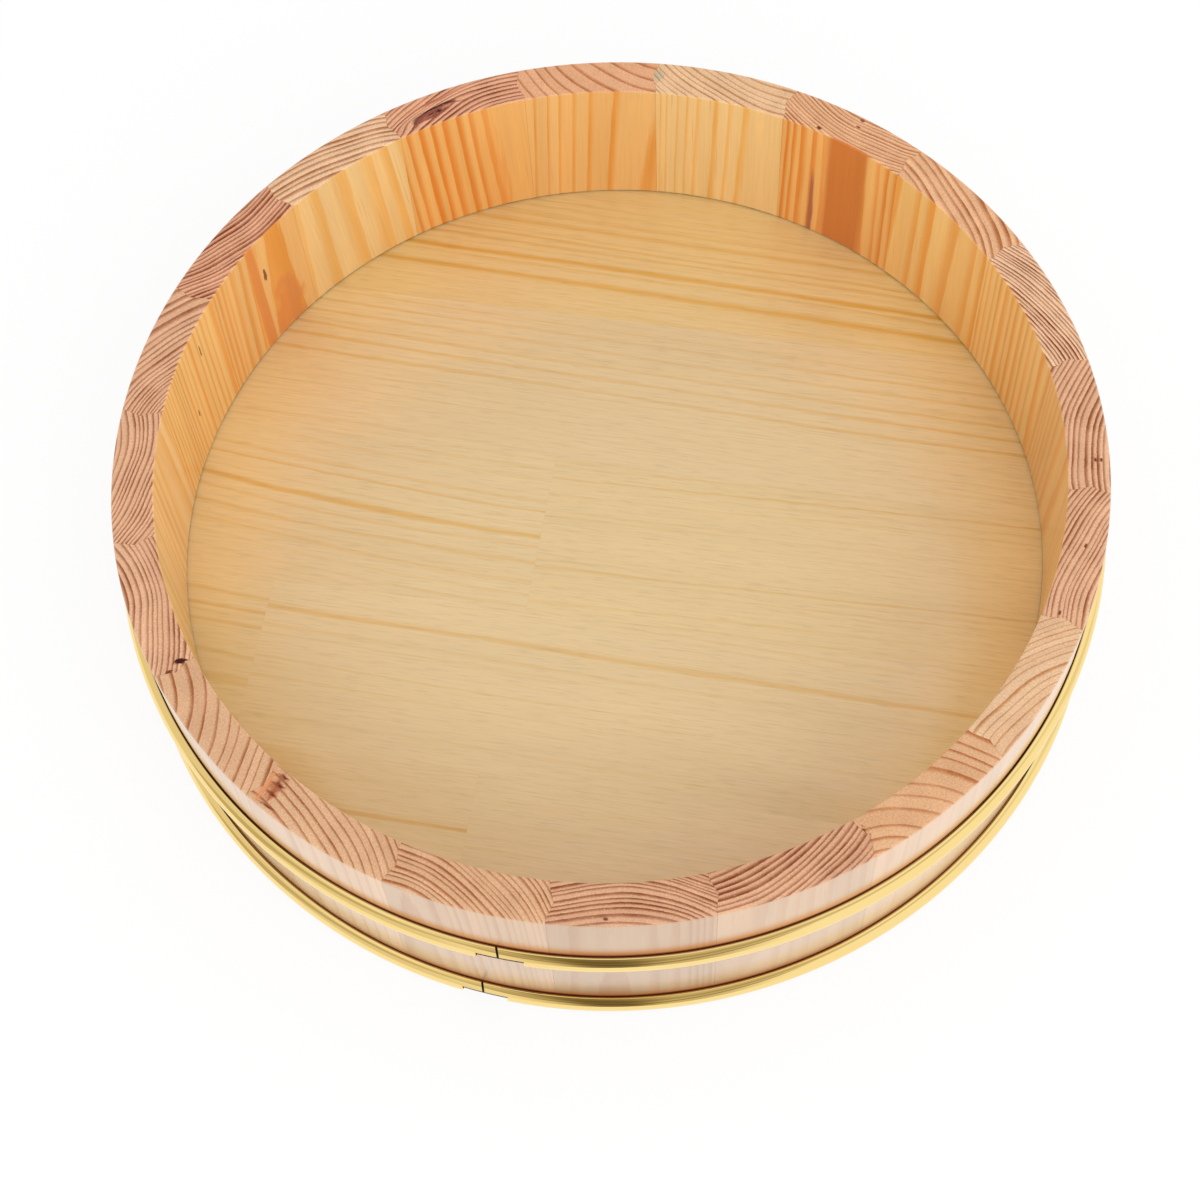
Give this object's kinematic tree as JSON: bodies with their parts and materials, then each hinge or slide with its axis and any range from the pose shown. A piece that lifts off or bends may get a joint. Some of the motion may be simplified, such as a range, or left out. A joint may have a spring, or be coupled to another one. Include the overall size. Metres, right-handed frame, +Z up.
{
  "type": "sushi rice tub",
  "caption": "Round straight-sided wooden tub of glued staves with a let-in bottom board and half-round gold hoops, for cooling and dressing sushi rice.",
  "frame": {"origin": "centre of the ring of stave ends that the tub stands on", "axes": "+Z up along the tub's axis, +X to the right of a person who faces the hoops' seams, -Y towards that person"},
  "size_m": [0.3376, 0.3376, 0.08],
  "materials": {
    "stave_wood": "clear varnished pine, end grain at the rim",
    "bottom_wood": "pale clear varnished pine, side grain",
    "hoop_metal": "polished gold",
    "splice_metal": "dark steel"
  },
  "bodies": {
    "root": {"stave_01": "stave_wood", "stave_02": "stave_wood", "stave_03": "stave_wood", "stave_04": "stave_wood", "stave_05": "stave_wood", "stave_06": "stave_wood", "stave_07": "stave_wood", "stave_08": "stave_wood", "stave_09": "stave_wood", "stave_10": "stave_wood", "stave_11": "stave_wood", "stave_12": "stave_wood", "stave_13": "stave_wood", "stave_14": "stave_wood", "stave_15": "stave_wood", "stave_16": "stave_wood", "stave_17": "stave_wood", "stave_18": "stave_wood", "stave_19": "stave_wood", "stave_20": "stave_wood", "bottom_back_outer": "bottom_wood", "bottom_back_inner": "bottom_wood", "bottom_middle_left": "bottom_wood", "bottom_middle_right": "bottom_wood", "bottom_front_inner_left": "bottom_wood", "bottom_front_inner_right": "bottom_wood", "bottom_front_outer_left": "bottom_wood", "bottom_front_outer_right": "bottom_wood", "lower_hoop": "hoop_metal", "lower_hoop_splice": "splice_metal", "upper_hoop": "hoop_metal", "upper_hoop_splice": "splice_metal"}
  },
  "joints": []
}
